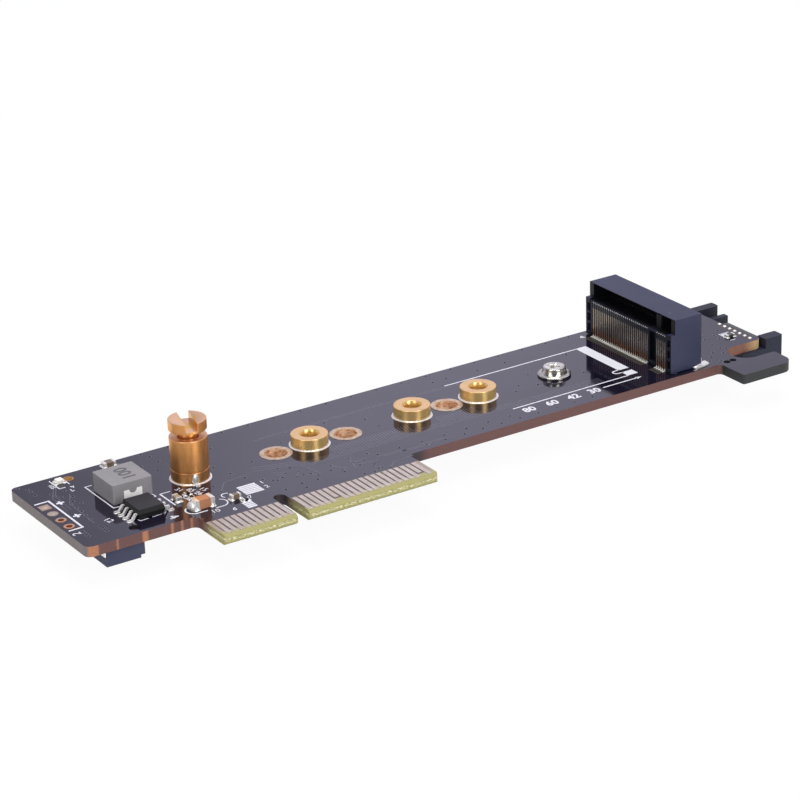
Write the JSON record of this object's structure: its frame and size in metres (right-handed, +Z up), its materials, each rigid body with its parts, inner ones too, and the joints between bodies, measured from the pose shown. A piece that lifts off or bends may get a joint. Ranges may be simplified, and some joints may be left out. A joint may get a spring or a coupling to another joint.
{
  "type": "nvme adapter card",
  "caption": "Low card that carries one storage module above and one below, with a keyed edge tongue, a tall socket, retention nuts, a post and a signal plug.",
  "frame": {"origin": "middle of the key notch, on the line of the tongue's tip, on the board's component side", "axes": "+X along the board from the bracket end to the signal plug, +Y from the tongue's tip to the far edge, +Z up from the component side"},
  "size_m": [0.126, 0.0322, 0.0156],
  "materials": {
    "board": "glossy dark slate solder mask over glass-filled laminate",
    "contact_gold": "gold flash on copper, slightly dull",
    "copper": "bare plated copper",
    "solder": "tinned",
    "brass": "turned",
    "screw_steel": "nickel plated",
    "socket_plastic": "moulded, fine grain",
    "moulded_grey": "pressed iron powder",
    "chip_black": "moulded epoxy",
    "ceramic_tan": "fired ceramic",
    "white_plastic": "moulded",
    "lamp_clear": "clear epoxy"
  },
  "bodies": {
    "root": {"board": "board", "edge_contacts_upper": "contact_gold", "edge_contacts_lower": "contact_gold", "hole_rings": "copper", "header_holes": "copper", "header_solder": "solder", "module_nuts": "brass", "post_nut": "brass", "nut_solder": "solder", "post_sleeve": "brass", "post_cap_screw": "brass", "fixing_screw": "screw_steel", "lower_standoff": "brass", "upper_socket_housing": "socket_plastic", "upper_socket_front_contacts": "contact_gold", "upper_socket_back_contacts": "contact_gold", "upper_socket_tabs": "solder", "lower_socket_housing": "socket_plastic", "lower_socket_contacts": "contact_gold", "lower_socket_tabs": "solder", "signal_plug_housing": "socket_plastic", "signal_plug_blade": "socket_plastic", "signal_plug_contacts": "contact_gold", "signal_plug_joints": "solder", "inductor_body": "moulded_grey", "inductor_tabs": "solder", "regulator_body": "chip_black", "regulator_leads": "solder", "bulk_capacitor_body": "ceramic_tan", "bulk_capacitor_ends": "solder", "capacitor_bodies": "ceramic_tan", "capacitor_ends": "solder", "resistor_bodies": "chip_black", "resistor_ends": "solder", "lamp_base": "white_plastic", "lamp_lens": "lamp_clear", "lamp_ends": "solder", "bare_pad": "copper"}
  },
  "joints": []
}
